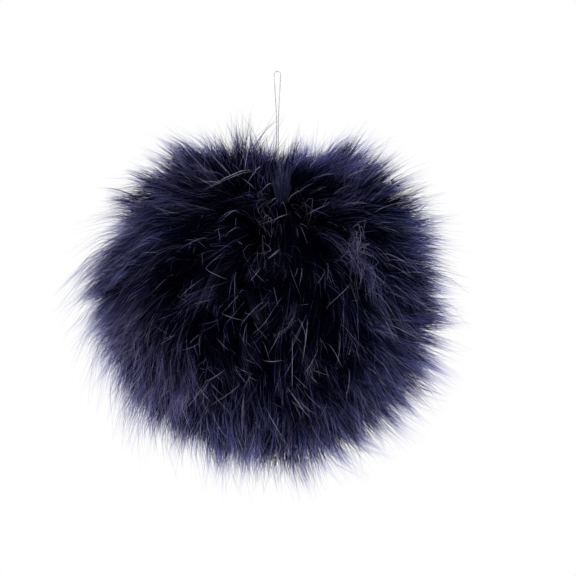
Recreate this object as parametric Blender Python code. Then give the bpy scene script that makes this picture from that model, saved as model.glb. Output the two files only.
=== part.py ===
"""Fur pom pom that hangs on a fine doubled thread.

A round of long-haired fur cloth is gathered into a ball. Its hair stands out all round in
pointed locks, parts at the gather on top and droops below it. A thread is tied into the
gather, rises as two strands and ends in a narrow loop.

Units are metres and +Z is up. The front is seen looking along +Y, with +X to the right.
The origin is the top of the thread's loop, the point that the pom pom hangs from.
"""

import math
import random
from collections import namedtuple

import bmesh
import bpy
from mathutils import Vector, noise

MM = 0.001

# The ball, measured to the tips of its locks.
FUR_RADIUS = 59.0 * MM
BALL_CENTRE = Vector((-3.3 * MM, 0.0, -74.0 * MM))
SKIN_SHARE = 0.62  # how far out the gathered skin lies, as a share of the fur's radius
GATHER_RADIUS = 32.0 * MM  # from the ball's middle to the flat spot where the thread is tied
DEPTH_SHARE = 0.98  # front to back against side to side

# The locks: one stands on each of the skin's three-sided cells, whose corners are laid out
# like the seeds of a sunflower.
SKIN_POINTS = 151  # gives 298 cells
GOLDEN_TURN = math.pi * (3.0 - math.sqrt(5.0))
CELL_WIDTH = math.sqrt(4.0 * math.pi / SKIN_POINTS)  # on a ball of radius 1
CELL_JITTER = 0.16  # how far a cell's corner strays, in cell widths
LENGTH_SPREAD = 0.11  # how much one lock's length differs from the next
TIP_SWAY = 0.9  # how far a lock's tip leans inside its own cell, as a share of the room there
LEAST_SWAY = 0.3  # the least that a tip leans, as a share of the most
COMB_SWEEP = 8.5 * MM  # how far the tips are combed away from the gather
COMB_DROOP = 4.0 * MM  # how far the tips sag under their own weight
SWIRL = 4.0 * MM  # how far whole neighbourhoods of tips turn together
SWIRL_SCALE = 1.5  # how many such neighbourhoods fit a radius
STILL_ANGLE = 0.6  # nearer to the gather than this the locks stand back from the thread, in radians
SHARP_ANGLE = math.radians(50.0)  # edges sharper than this stay crisp
SEED = 11
SWIRL_SEED = 1795526953  # for Blender's vector noise, which follows the clock if it is given none

# How a lock narrows from the skin out: reach along the lock, width as a share of its cell.
Band = namedtuple("Band", "reach width")
LOCK_BANDS = (
    Band(0.11, 0.89),
    Band(0.40, 0.82),
    Band(0.68, 0.55),
    Band(0.88, 0.25),
)

# Where the fur stands higher or lower than the plain ball. Bearing 0 is the right-hand
# side, 90 the back and -90 the front; height is measured up from the ball's middle.
Swell = namedtuple("Swell", "name bearing height spread rise")
SWELLS = (
    Swell("dip at the gather", 0.0, 85.0, 24.0, -8.0 * MM),
    Swell("upper left shoulder", 180.0, 54.0, 15.0, 6.0 * MM),
    Swell("left side, high", 180.0, 31.0, 10.0, -3.0 * MM),
    Swell("left side", 180.0, 2.0, 18.0, 3.0 * MM),
    Swell("upper right shoulder", 0.0, 58.0, 15.0, 6.5 * MM),
    Swell("right side, high", 0.0, 27.0, 15.0, 3.5 * MM),
    Swell("right side", 0.0, -8.0, 14.0, 2.0 * MM),
    Swell("back shoulder", 90.0, 45.0, 26.0, 3.0 * MM),
    Swell("front shoulder", -90.0, 40.0, 24.0, 1.5 * MM),
    Swell("front, low left", -120.0, -25.0, 22.0, 2.5 * MM),
    Swell("underneath, left", 180.0, -60.0, 22.0, -3.0 * MM),
    Swell("underneath, right", 0.0, -60.0, 22.0, -1.0 * MM),
)

# The thread, drawn in the plane of the ball's middle.
THREAD_DIAMETER = 0.32 * MM
LOOP_RADIUS = 1.07 * MM
TIE_DEPTH = 15.9 * MM  # below the loop's top, where the two strands come together
STRAND_SPACING = 0.62 * MM  # between the strands below the tie, centre to centre
SEAT_GAP = 0.35 * MM  # between the thread's ends and the skin
CURVE_STEPS = 20  # fine steps between two points of a strand's route
LEG_STEPS = 30  # points along each strand
LOOP_STEPS = 18  # points round the loop


def clear_scene():
    for old in list(bpy.data.objects):
        bpy.data.objects.remove(old, do_unlink=True)


def new_material(name, colour, roughness):
    material = bpy.data.materials.new(name)
    material.use_nodes = True
    shader = material.node_tree.nodes["Principled BSDF"]
    shader.inputs["Base Color"].default_value = (*colour, 1.0)
    shader.inputs["Roughness"].default_value = roughness
    shader.inputs["Metallic"].default_value = 0.0
    return material


def bearing_to_direction(bearing, height):
    """The unit vector at a bearing and a height above the ball's middle, in degrees."""
    turn = math.radians(bearing)
    rise = math.radians(height)
    return Vector((math.cos(turn) * math.cos(rise), math.sin(turn) * math.cos(rise), math.sin(rise)))


def fur_radius(direction):
    """How far the tips of the locks reach in a direction."""
    radius = FUR_RADIUS
    for swell in SWELLS:
        away = math.degrees(direction.angle(bearing_to_direction(swell.bearing, swell.height)))
        radius += swell.rise * math.exp(-((away / swell.spread) ** 2))
    return radius


def skin_radius(direction):
    return SKIN_SHARE * fur_radius(direction)


def gather_direction():
    """From the ball's middle to the foot of the thread, which hangs plumb from the origin."""
    aside = -BALL_CENTRE.x / GATHER_RADIUS
    return Vector((aside, 0.0, math.sqrt(1.0 - aside**2)))


def freedom(direction):
    """How freely hair leans sideways: not at all at the gather, and fully away from it."""
    return min(1.0, direction.angle(gather_direction()) / STILL_ANGLE) ** 2


def comb(direction, reach):
    """How far the hair at this reach is moved from where it would stand straight out."""
    gather = gather_direction()
    away_from_gather = direction * direction.dot(gather) - gather
    swirl = noise.noise_vector(direction * SWIRL_SCALE)
    swirl -= direction * swirl.dot(direction)
    moved = away_from_gather * COMB_SWEEP + Vector((0.0, 0.0, -COMB_DROOP))
    moved += swirl * SWIRL * freedom(direction)
    return moved * reach**2


def add_skin(bm, dice):
    """The gathered skin: a ball of three-sided cells, one of which faces the thread."""
    for index in range(SKIN_POINTS):
        height = 1.0 - (2.0 * index + 1.0) / SKIN_POINTS
        turn = index * GOLDEN_TURN
        level = math.sqrt(1.0 - height**2)
        direction = Vector((math.cos(turn) * level, math.sin(turn) * level, height))
        stray = Vector([dice.uniform(-1.0, 1.0) for _ in range(3)]) * CELL_JITTER * CELL_WIDTH
        bm.verts.new((direction + stray).normalized())
    bmesh.ops.convex_hull(bm, input=bm.verts[:])
    gather = gather_direction()
    gather_cell = max(bm.faces, key=lambda face: face.calc_center_median().z)
    turned = gather_cell.calc_center_median().rotation_difference(gather)
    for vert in bm.verts:
        vert.co.rotate(turned)
        in_gather = vert in gather_cell.verts[:]
        vert.co *= GATHER_RADIUS / vert.co.dot(gather) if in_gather else skin_radius(vert.co)
    return gather_cell


def raise_lock(bm, face, dice):
    """Draws one lock out of its cell of the skin, band by band, to a point."""
    corners = [vert.co.normalized() for vert in face.verts]
    middle = sum(corners, Vector()).normalized()
    room = min((middle - a.lerp(b, 0.5)).length for a, b in zip(corners, corners[1:] + corners[:1]))
    sway = Vector([dice.uniform(-1.0, 1.0) for _ in range(3)])
    sway -= middle * sway.dot(middle)
    sway = sway.normalized() * dice.uniform(LEAST_SWAY, 1.0) * TIP_SWAY * room * freedom(middle)
    length = dice.uniform(1.0 - LENGTH_SPREAD, 1.0 + LENGTH_SPREAD)

    def place(direction, reach):
        direction = direction.normalized()
        skin = skin_radius(direction)
        radius = skin + (fur_radius(direction) - skin) * length * reach
        return direction * radius + comb(direction, reach)

    top = face
    for band in LOCK_BANDS:
        top = bmesh.ops.extrude_discrete_faces(bm, faces=[top])["faces"][0]
        heart = middle + sway * band.reach**2
        for vert, corner in zip(top.verts, corners):
            vert.co = place(heart + (corner - middle) * band.width, band.reach)
    tip = bmesh.ops.poke(bm, faces=[top])["verts"][0]
    tip.co = place(middle + sway, 1.0)


def make_pom_pom(collection):
    dice = random.Random(SEED)
    noise.seed_set(SWIRL_SEED)
    bm = bmesh.new()
    gather_cell = add_skin(bm, dice)
    for cell in [face for face in bm.faces if face is not gather_cell]:
        raise_lock(bm, cell, dice)
    bmesh.ops.scale(bm, vec=(1.0, DEPTH_SHARE, 1.0), verts=bm.verts)
    bmesh.ops.recalc_face_normals(bm, faces=bm.faces)
    mesh = bpy.data.meshes.new("pom_pom")
    bm.to_mesh(mesh)
    bm.free()
    mesh.shade_smooth()
    mesh.set_sharp_from_angle(angle=SHARP_ANGLE)
    mesh.materials.append(new_material("navy fur", (0.018, 0.018, 0.050), 0.85))
    pom_pom = bpy.data.objects.new("pom_pom", mesh)
    pom_pom.location = BALL_CENTRE
    collection.objects.link(pom_pom)


def thread_foot_height():
    """The height at which the thread's ends stop, just clear of the skin at the gather."""
    return BALL_CENTRE.z + GATHER_RADIUS * gather_direction().z + SEAT_GAP


def strand_route(side):
    """One strand from its foot in the gather up to the start of the loop."""
    near = STRAND_SPACING / 2.0
    foot = thread_foot_height()
    return [
        Vector((side * near, 0.0, foot)),
        Vector((side * near, 0.0, (foot - TIE_DEPTH) / 2.0)),
        Vector((side * near, 0.0, -TIE_DEPTH)),
        Vector((side * (near + LOOP_RADIUS) / 2.0, 0.0, -(TIE_DEPTH + LOOP_RADIUS) / 2.0)),
        Vector((side * LOOP_RADIUS, 0.0, -LOOP_RADIUS)),
    ]


def smooth_points(route, count):
    """Points spaced evenly along a smooth curve through the route's own points."""
    ends = [route[0] * 2.0 - route[1], *route, route[-1] * 2.0 - route[-2]]
    fine = []
    for before, start, end, after in zip(ends, ends[1:], ends[2:], ends[3:]):
        for step in range(CURVE_STEPS):
            t = step / CURVE_STEPS
            fine.append(
                0.5
                * (
                    2.0 * start
                    + (end - before) * t
                    + (2.0 * before - 5.0 * start + 4.0 * end - after) * t**2
                    + (3.0 * start - before - 3.0 * end + after) * t**3
                )
            )
    fine.append(route[-1])
    lengths = [0.0]
    for a, b in zip(fine, fine[1:]):
        lengths.append(lengths[-1] + (b - a).length)
    points = []
    for index in range(count):
        wanted = lengths[-1] * index / (count - 1)
        seg = next((i for i, done in enumerate(lengths[1:]) if done >= wanted), len(fine) - 2)
        share = (wanted - lengths[seg]) / (lengths[seg + 1] - lengths[seg])
        points.append(fine[seg].lerp(fine[seg + 1], min(share, 1.0)))
    return points


def thread_points():
    up = smooth_points(strand_route(-1.0), LEG_STEPS)
    down = list(reversed(smooth_points(strand_route(1.0), LEG_STEPS)))
    loop = []
    for step in range(1, LOOP_STEPS):
        turn = math.pi * (1.0 - step / LOOP_STEPS)
        loop.append(Vector((math.cos(turn), 0.0, math.sin(turn) - 1.0)) * LOOP_RADIUS)
    return up + loop + down


def make_thread(collection):
    points = thread_points()
    curve = bpy.data.curves.new("hang_thread", "CURVE")
    curve.dimensions = "3D"
    curve.bevel_depth = THREAD_DIAMETER / 2.0
    curve.bevel_resolution = 2
    curve.use_fill_caps = True
    spline = curve.splines.new("POLY")
    spline.points.add(len(points) - 1)
    for point, place in zip(spline.points, points):
        point.co = (*place, 1.0)
    curve.materials.append(new_material("grey thread", (0.30, 0.30, 0.34), 0.5))
    thread = bpy.data.objects.new("hang_thread", curve)
    collection.objects.link(thread)


def main():
    clear_scene()
    collection = bpy.data.collections.new("fur_pom_pom")
    bpy.context.scene.collection.children.link(collection)
    make_pom_pom(collection)
    make_thread(collection)


main()
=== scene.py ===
"""The looks of a navy fur pom pom that hangs on a fine doubled thread.

Laid out as an add-on: sizes and colours are properties, each piece or group of like pieces
has an operator, and a panel in the 3D view's sidebar lists them. All sizes are in metres,
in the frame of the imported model: +Z is up and the origin is the top of the thread's loop.
"""

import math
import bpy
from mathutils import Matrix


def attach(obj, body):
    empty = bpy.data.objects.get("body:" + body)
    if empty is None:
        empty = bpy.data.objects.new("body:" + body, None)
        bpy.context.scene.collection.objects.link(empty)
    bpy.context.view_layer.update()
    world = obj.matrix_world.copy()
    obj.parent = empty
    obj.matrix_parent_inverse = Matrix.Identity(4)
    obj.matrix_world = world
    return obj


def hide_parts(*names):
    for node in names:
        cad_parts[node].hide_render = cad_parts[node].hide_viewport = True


bl_info = {
    "name": "Fur Pom Pom",
    "version": (1, 0, 0),
    "blender": (4, 5, 0),
    "location": "3D View > Sidebar > Pom Pom",
    "description": "Builds a hanging ball of long navy fur with its thread and a white studio",
    "category": "Object",
}

from collections import namedtuple

import bmesh
import bpy
from bpy.props import FloatProperty, FloatVectorProperty, PointerProperty
from mathutils import Vector, noise

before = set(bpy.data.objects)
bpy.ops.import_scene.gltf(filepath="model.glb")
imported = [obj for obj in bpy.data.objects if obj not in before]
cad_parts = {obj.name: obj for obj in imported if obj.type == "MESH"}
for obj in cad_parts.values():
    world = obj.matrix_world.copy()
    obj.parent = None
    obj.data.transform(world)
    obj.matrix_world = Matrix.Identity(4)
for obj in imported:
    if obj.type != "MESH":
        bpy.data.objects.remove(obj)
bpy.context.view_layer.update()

MM = 0.001
BODY = "root"
FUR_NODE = "pom_pom"
THREAD_NODE = "hang_thread"
FUR_MAP = "OFBake"  # the hairs' own map: tone of the hair across, root to tip up

# The photograph's frame: its scale, and the pixels of the loop's top and of the view's middle.
METRES_PER_PIXEL = MM / 3.0
LOOP_PIXEL = (277.5, 72.0)
VIEW_PIXELS = 576
KEY_DIRECTION = (-0.25, -0.75, 0.61)  # from the pom pom towards the key light
NODE_SPACING = 190.0  # in the node editor
SOCKET_KINDS = {float: "Float", int: "Int", tuple: "Vector"}


def table(kind, columns, rows):
    """Named rows. A column marked with a star is written in millimetres and kept in metres."""
    row_type = namedtuple(kind, columns.replace("*", ""))
    in_mm = [column.endswith("*") for column in columns.split()]
    return [row_type(*(v * MM if mm else v for v, mm in zip(row, in_mm))) for row in rows]


# The form, as in the part's source.
BALL_CENTRE = Vector((-3.3 * MM, 0.0, -74.0 * MM))
GATHER_RADIUS = 32.0 * MM
SWELLS = table("Swell", "name bearing height spread rise*", [
    ("dip at the gather", 0.0, 85.0, 24.0, -8.0),
    ("upper left shoulder", 180.0, 54.0, 15.0, 6.0),
    ("left side, high", 180.0, 31.0, 10.0, -3.0),
    ("left side", 180.0, 2.0, 18.0, 3.0),
    ("upper right shoulder", 0.0, 58.0, 15.0, 6.5),
    ("right side, high", 0.0, 27.0, 15.0, 3.5),
    ("right side", 0.0, -8.0, 14.0, 2.0),
    ("back shoulder", 90.0, 45.0, 26.0, 3.0),
    ("front shoulder", -90.0, 40.0, 24.0, 1.5),
    ("front, low left", -120.0, -25.0, 22.0, 2.5),
    ("underneath, left", 180.0, -60.0, 22.0, -3.0),
    ("underneath, right", 0.0, -60.0, 22.0, -1.0),
])

# Where the hair lies seen from the front: its heading at a pixel, 0 to the right and 90 up,
# and how firmly it is laid.
STROKES = table("Stroke", "name x y heading hold", [
    ("top left tuft", 175, 145, 142.0, 1.0),
    ("top left, inside", 205, 160, 136.0, 1.0),
    ("top, left of the thread", 240, 145, 97.0, 1.0),
    ("crown", 278, 165, 92.0, 1.0),
    ("top, right of the thread", 305, 150, 62.0, 1.0),
    ("top right tuft", 345, 142, 55.0, 1.0),
    ("second tuft on the right", 380, 158, 42.0, 1.0),
    ("right shoulder", 405, 182, 28.0, 1.0),
    ("right, high", 430, 215, 6.0, 1.0),
    ("right, middle", 440, 250, -4.0, 1.0),
    ("right side", 445, 295, -9.0, 1.0),
    ("right, low", 440, 335, -20.0, 1.0),
    ("right corner below", 420, 375, -35.0, 1.0),
    ("low right", 390, 415, -44.0, 1.0),
    ("bottom right", 350, 442, -55.0, 1.0),
    ("bottom, right of middle", 315, 455, -66.0, 1.0),
    ("bottom", 270, 462, -86.0, 1.0),
    ("bottom, left of middle", 225, 448, -98.0, 1.0),
    ("bottom left", 180, 425, -106.0, 1.0),
    ("low left", 135, 385, -118.0, 1.0),
    ("left corner below", 108, 350, -132.0, 1.0),
    ("left side", 92, 305, -141.0, 1.0),
    ("left, middle", 95, 268, -147.0, 1.0),
    ("left, high", 110, 228, -162.0, 1.0),
    ("left tuft", 112, 197, 179.0, 1.0),
    ("second tuft on the left", 138, 173, 167.0, 1.0),
    ("streaks to the left", 180, 195, 176.0, 1.0),
    ("long streaks to the left", 175, 225, 198.0, 0.7),
    ("left of middle, high", 150, 255, 208.0, 1.0),
    ("left of middle", 150, 300, -137.0, 0.7),
    ("left of middle, low", 155, 345, -124.0, 0.7),
    ("front, low left", 180, 385, -104.0, 0.8),
    ("front, left", 200, 300, -130.0, 0.6),
    ("front, high left", 225, 240, -150.0, 0.6),
    ("front, lower left", 220, 350, -95.0, 0.6),
    ("front, middle", 255, 300, -84.0, 0.6),
    ("front, below middle", 255, 370, -80.0, 0.8),
    ("front, low", 270, 415, -86.0, 0.8),
    ("front, high", 270, 235, -120.0, 0.4),
    ("front, right of middle", 300, 300, -98.0, 0.6),
    ("front, low right of middle", 310, 360, -92.0, 0.6),
    ("front, low right", 330, 410, -70.0, 1.0),
    ("right of middle, low", 370, 395, -50.0, 1.0),
    ("right of middle", 375, 340, -52.0, 0.7),
    ("pale lock, top", 352, 240, -84.0, 1.0),
    ("pale lock, end", 356, 285, -74.0, 1.0),
    ("right flank, high", 390, 215, 6.0, 1.0),
    ("right flank", 395, 260, -12.0, 1.0),
    ("right flank, low", 405, 305, -30.0, 1.0),
    ("right of the crown", 340, 190, 20.0, 1.0),
    ("crown, left foot", 250, 185, 195.0, 0.8),
    ("crown, right foot", 305, 200, -5.0, 0.7),
    ("under the crown", 280, 215, -90.0, 0.4),
    ("below the crown, right", 315, 225, -50.0, 0.7),
])
UNLAID_HOLD = 0.02  # how firmly hair without a stroke falls away from the gather
SAG = 0.3  # how far that hair sags
LENGTH_ROUNDS = 4  # to find where a hair meets the fur's surface

# How much further the fur's middle line reaches than the solids' form, round the outline seen
# from the front: millimetres at every 15 degrees anticlockwise from the right.
OUTLINE = (
    -0.9, 1.2, 2.4, 0.8, -5.6, -6.4, -2.9, -1.1, -4.4, -3.9, 1.7, -1.7,
    1.4, 1.5, -0.3, 5.2, 1.9, 2.6, 1.6, 7.3, 2.9, 4.2, 4.9, 3.1,
)
OUTLINE_STEP = 360.0 / len(OUTLINE)
OUTLINE_SPREAD = 10.0  # degrees round the outline over which a number is felt
OUTLINE_DEPTH = 28.0  # degrees to the front and back of the outline

# Regions seen from the front, their tone and their hue: 0 teal, 0.5 navy, 1 violet. The dark rows are
# painted shade of the front and of hollows and partings; the low left, low right and bottom rows are painted
# light from below.
TONE_HUE_AND_PAINTED_LIGHT_PATCHES = table("Patch", "name x y spread* tone hue", [
    ("warmer left half", 130, 290, 30.0, 0.0, 0.35),
    ("warmer top left", 185, 165, 24.0, 0.0, 0.30),
    # painted shade, down to the dark right flank: the front that the light from behind leaves dark, and
    # hollows and partings
    ("dark front", 262, 285, 27.0, -0.48, 0.0),
    ("dark middle", 280, 338, 12.0, -0.28, 0.0),
    ("dark left of the crown", 206, 193, 9.0, -0.50, 0.0),
    ("dark right of the crown", 318, 195, 6.0, -0.30, 0.0),
    ("dark left of middle", 158, 284, 6.0, -0.30, 0.0),
    ("dark left, low", 160, 334, 9.0, -0.35, 0.0),
    ("dark below the top right tuft", 336, 172, 6.0, -0.42, 0.0),
    ("dark left of the low left", 143, 350, 7.0, -0.60, 0.0),
    ("dark right of the low left", 198, 364, 7.0, -0.55, 0.0),
    ("dark left of the pale lock", 333, 252, 7.0, -0.65, 0.0),
    ("dark below middle", 250, 414, 9.0, -0.45, 0.0),
    ("dark low right", 338, 366, 8.0, -0.70, 0.0),
    ("dark right of middle", 364, 342, 7.0, -0.80, 0.0),
    ("dark behind the pale lock", 390, 242, 6.0, -0.95, 0.0),
    ("dark right flank", 408, 282, 9.0, -0.85, 0.0),
    # from here, rows that lighten or shift the hue; the low left, low right and bottom are painted light
    # from below
    ("crown tuft", 276, 168, 6.0, 0.50, 0.1),
    ("light hairs, high", 267, 243, 4.0, 0.40, 0.2),
    ("pale lock", 360, 256, 5.5, 0.45, 0.3),
    ("below the pale lock", 370, 290, 7.0, 0.22, 0.0),
    ("right shoulder", 375, 212, 7.0, 0.20, 0.0),
    ("upper left tuft", 184, 158, 9.0, 0.55, 0.1),
    ("left tuft", 142, 226, 10.0, 0.30, -0.3),
    ("left side", 118, 272, 10.0, -0.15, -0.7),
    ("left, low", 116, 318, 7.0, 0.30, 0.4),
    ("low left", 168, 392, 12.0, 0.90, 0.3),
    ("upper right", 365, 165, 10.0, 0.20, 0.1),
    ("right, high", 405, 225, 11.0, 0.0, -0.3),
    ("blue, low middle", 315, 362, 6.0, 0.20, 0.0),
    ("right, low", 415, 350, 9.0, 0.15, 0.0),
    ("low right", 390, 390, 9.0, 0.80, 0.0),
    ("bottom", 310, 442, 13.0, 0.15, 0.1),
])

# Tufts whose tips show in the outline: the tip's pixel, how far its pull is felt and its strength.
TUFTS = table("Tuft", "name x y size* pull", [
    ("top left", 160, 137, 11.0, 0.50),
    ("second on the left", 122, 170, 9.0, 0.50),
    ("left", 100, 195, 8.0, 0.50),
    ("left side", 82, 303, 10.0, 0.40),
    ("top right", 358, 134, 10.0, 0.45),
    ("second on the right", 392, 160, 9.0, 0.40),
])

# Places where the fur parts, the roots with their painted shade show, and the hair is darkened with painted
# shade.
GAPS = table("Gap", "name x y size*", [
    ("right of the crown", 318, 194, 7.5),
    ("left of the crown", 222, 188, 5.0),
    ("left of middle", 166, 271, 5.0),
    ("beside the pale lock", 326, 252, 5.0),
    ("middle", 281, 343, 4.5),
    ("front, high", 248, 262, 4.5),
])
GAP_PUSH = 1.3  # how far hair is pushed out of a gap, as a share of its way from the middle
GAP_SHORTENING = 0.45  # how much shorter its hair is
# painted shade in the partings: how much darker their hair is
GAP_PAINTED_SHADE = 0.5

# Single locks and hairs that stand out in the photograph, by their look: the pixels where they
# leave the fur and where they end, how wide and how many, and their tone and hue.
ACCENT_COLUMNS = "name x y tip_x tip_y size* count tone hue"
ACCENTS = {
    "fur": table("Accent", ACCENT_COLUMNS, [
        ("pale lock", 346, 228, 360, 284, 2.4, 20, 0.75, 0.8),
        ("pale lock, trailing hairs", 357, 256, 381, 320, 2.6, 26, 0.85, 0.5),
        ("crown tuft, left", 278, 210, 270, 162, 1.3, 20, 0.70, 0.3),
        ("crown tuft, middle", 281, 208, 279, 150, 1.4, 30, 0.75, 0.3),
        ("crown tuft, right", 285, 206, 290, 164, 1.2, 18, 0.70, 0.3),
        ("top left tuft", 194, 166, 159, 136, 3.4, 70, 0.80, 0.5),
        ("second tuft on the left", 152, 184, 121, 168, 3.2, 40, 0.85, 0.5),
        ("left tuft", 134, 204, 99, 194, 3.0, 40, 0.85, 0.3),
        ("left side tuft", 108, 286, 81, 303, 3.0, 40, 0.80, 0.5),
        ("top right tuft", 338, 166, 359, 133, 3.4, 70, 0.75, 0.8),
        ("hanging lock, left of middle", 249, 292, 262, 330, 1.8, 26, 0.55, 0.5),
        ("hanging lock, middle", 243, 325, 254, 384, 2.4, 30, 0.50, 0.5),
        ("hanging lock, right of middle", 296, 300, 288, 332, 1.0, 16, 0.75, 0.8),
        ("blue lock, low", 304, 338, 314, 392, 3.4, 60, 0.45, 0.2),
        ("lock, left of middle", 196, 300, 218, 288, 1.6, 22, 0.60, 0.5),
    ]),
    "curl": table("Accent", ACCENT_COLUMNS, [
        ("curls on the pale lock", 350, 236, 356, 248, 3.8, 16, 0.90, 0.6),
        ("curls on the pale lock, middle", 356, 246, 360, 262, 3.2, 14, 0.90, 0.6),
        ("curls on the pale lock, low", 357, 262, 362, 296, 2.6, 14, 0.65, 0.6),
        ("curls under the crown", 272, 204, 266, 216, 4.5, 10, 0.45, 0.4),
        ("curls, high middle", 264, 222, 268, 234, 4.5, 12, 0.50, 0.3),
        ("curls right of the crown", 296, 206, 306, 228, 4.5, 8, 0.25, 0.3),
        ("curls, middle", 262, 250, 256, 274, 5.0, 12, 0.35, 0.4),
    ]),
    "wisp": table("Accent", ACCENT_COLUMNS, [
        ("dark wisp", 254, 152, 287, 110, 0.7, 9, 0.35, 0.5),
        ("standing hairs, left", 240, 158, 236, 102, 3.4, 26, 0.75, 0.5),
        ("standing hairs, middle", 245, 156, 250, 108, 3.4, 22, 0.75, 0.5),
        ("standing hairs, right", 290, 164, 300, 122, 3.0, 16, 0.65, 0.5),
        ("standing hairs, far left", 222, 160, 208, 126, 3.0, 12, 0.65, 0.5),
    ]),
    # pale single hairs: partly their own paler colour, partly painted glint
    "guard": table("Accent", ACCENT_COLUMNS, [
        ("long hair, upper left", 254, 174, 202, 191, 0.1, 2, 0.95, 0.5),
        ("hair from the crown", 262, 168, 243, 190, 0.1, 1, 0.80, 0.5),
        ("hair to the upper left", 232, 178, 202, 146, 0.1, 1, 0.80, 0.5),
        ("hair below the crown", 272, 187, 256, 197, 0.1, 1, 0.80, 0.5),
        ("hair right of the crown", 308, 214, 329, 204, 0.1, 1, 0.80, 0.5),
        ("hair, upper right", 318, 180, 338, 174, 0.1, 1, 0.60, 0.5),
        ("hair, high left", 241, 229, 224, 238, 0.1, 1, 0.90, 0.5),
        ("bright hair, high middle", 280, 249, 267, 260, 0.3, 3, 0.95, 0.5),
        ("hooked hair, upper part", 224, 254, 206, 268, 0.1, 1, 0.90, 0.5),
        ("hooked hair, lower part", 207, 267, 230, 281, 0.1, 1, 0.85, 0.5),
        ("hair, left of middle", 243, 287, 223, 313, 0.1, 1, 0.80, 0.5),
        ("bent hair, left of middle", 222, 312, 247, 322, 0.1, 1, 0.75, 0.5),
        ("hair, middle", 260, 268, 249, 283, 0.1, 1, 0.80, 0.5),
        ("hair below middle", 280, 328, 268, 354, 0.1, 1, 0.70, 0.5),
        ("level hair", 262, 360, 285, 361, 0.1, 1, 0.65, 0.5),
        ("long hanging hair", 293, 336, 292, 392, 0.1, 1, 0.85, 0.5),
        ("bright pair, low right", 318, 345, 304, 376, 0.4, 2, 0.95, 0.5),
        ("hair, right of middle", 350, 284, 325, 309, 0.1, 1, 0.90, 0.5),
        ("short hair, right", 327, 264, 327, 283, 0.1, 1, 0.70, 0.5),
        ("hair, low left", 227, 367, 202, 384, 0.1, 1, 0.80, 0.5),
        ("hair, lower left of middle", 216, 337, 230, 352, 0.1, 1, 0.70, 0.5),
    ]),
}

# The thread's route, as in the part's source.
LOOP_RADIUS = 1.07 * MM
TIE_DEPTH = 15.9 * MM
STRAND_SPACING = 0.62 * MM
SEAT_GAP = 0.35 * MM
LEG_STEPS = 30
LOOP_STEPS = 18
CURVE_STEPS = 20

# One coat of hair, from the dense short wool to the few pale hairs: how many hairs, their bands
# with the root's, their width, the share of the way to its end where a hair starts, how far
# out it reaches and how much shorter some are, how far its end strays and how rarely, how straight
# out it sets off, how much it curls and follows its tuft, its tone and how much lighter some are,
# and how far it takes part in the fur's tone with its painted light and shade. The accents' own rows say how
# many hairs they have.
COAT_COLUMNS = (
    "name seed count bands width* start reach spread stray* rarity lift curl tuft tone tones patchy look"
)
COATS = table("Coat", COAT_COLUMNS, [
    ("underfur_1", 101, 11600, 2, 0.28, 0.0, 0.92, 0.38, 2.5, 2.0, 0.45, 0.10, 0.80, 0.05, 0.2, 0.6, "fur"),
    ("underfur_2", 102, 18000, 2, 0.22, 0.0, 1.02, 0.42, 3.0, 2.0, 0.45, 0.08, 0.82, 0.08, 0.3, 0.7, "fur"),
    ("underfur_3", 103, 18000, 2, 0.20, 0.0, 1.09, 0.46, 3.5, 2.0, 0.45, 0.08, 0.84, 0.12, 0.6, 0.8, "fur"),
    ("top_fur_1", 104, 11400, 3, 0.20, 0.0, 1.18, 0.50, 4.5, 2.0, 0.50, 0.11, 0.84, 0.20, 1.15, 0.9, "fur"),
    ("top_fur_2", 105, 11400, 3, 0.17, 0.0, 1.40, 0.60, 7.0, 2.0, 0.50, 0.11, 0.75, 0.30, 1.25, 0.9, "fur"),
    ("long_hairs", 107, 1400, 3, 0.15, 0.0, 1.45, 0.32, 4.0, 2.0, 0.50, 0.10, 0.60, 0.45, 0.70, 0.6, "fur"),
    ("guard_hairs", 106, 1100, 4, 0.27, 0.55, 1.14, 0.3, 8.0, 0.5, 0.26, 0.12, 0.2, 0.55, 0.5, 0.0, "guard"),
    ("short_wisps", 108, 2400, 3, 0.28, 0.62, 1.06, 0.25, 7.0, 0.6, 0.40, 0.25, 0.20, 0.68, 0.3, 0.3, "fur"),
])
ACCENT_COATS = table("Coat", COAT_COLUMNS, [
    ("accent_locks", 201, 0, 4, 0.20, 0.0, 1.0, 0.40, 2.4, 1.0, 0.40, 0.08, 0.0, 0.5, 0.2, 1.0, "fur"),
    ("accent_curls", 204, 0, 4, 0.20, 0.0, 1.12, 0.40, 6.0, 0.5, 0.40, 0.55, 0.0, 0.4, 0.4, 1.0, "curl"),
    ("accent_wisps", 203, 0, 4, 0.18, 0.0, 1.0, 0.50, 3.5, 0.7, 0.20, 0.16, 0.0, 0.5, 0.2, 1.0, "wisp"),
    ("accent_hairs", 202, 0, 4, 0.33, 0.0, 1.0, 0.0, 0.2, 1.0, 0.22, 0.07, 0.0, 0.5, 0.0, 1.0, "guard"),
])

# Uses of Blender's noise: how much it adds, how many of its lumps fit a radius and where it is read.
Grain = namedtuple("Grain", "swing scale place")
BROAD_TONE = Grain(0.22, 3.1, (7.0, 3.0, 1.0))
FINE_TONE = Grain(0.65, 8.5, (1.0, 4.0, 6.0))
HAIR_GROWTH = Grain(0.16, 8.5, (1.0, 4.0, 6.0))
HUE_DRIFT = Grain(0.25, 2.2, (2.0, 8.0, 4.0))
GROUND_LUMPS = Grain(1.6 * MM, 9.0, (0.0, 0.0, 0.0))
TURN_PLACE = (5.0, 9.0, 2.0)  # where the turns of the way the hair lies are read
FINE_TURN_PLACE = (3.0, 1.0, 8.0)
LOOSE_PLACE = (4.0, 7.0, 5.0)
LOOSE_SEED = 7  # for the vector noise, which follows the clock if it is given none
BASE_TONE = 0.31  # 0 dark, 1 light
BASE_HUE = 0.5  # 0 teal, 1 violet

GROUND_VALUES = ("hair_share", "hair_patch", "hair_hue", "hair_loose")
CROWN_SPREAD = 24.0  # degrees from the gather over which hair counts as the crown's

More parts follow.
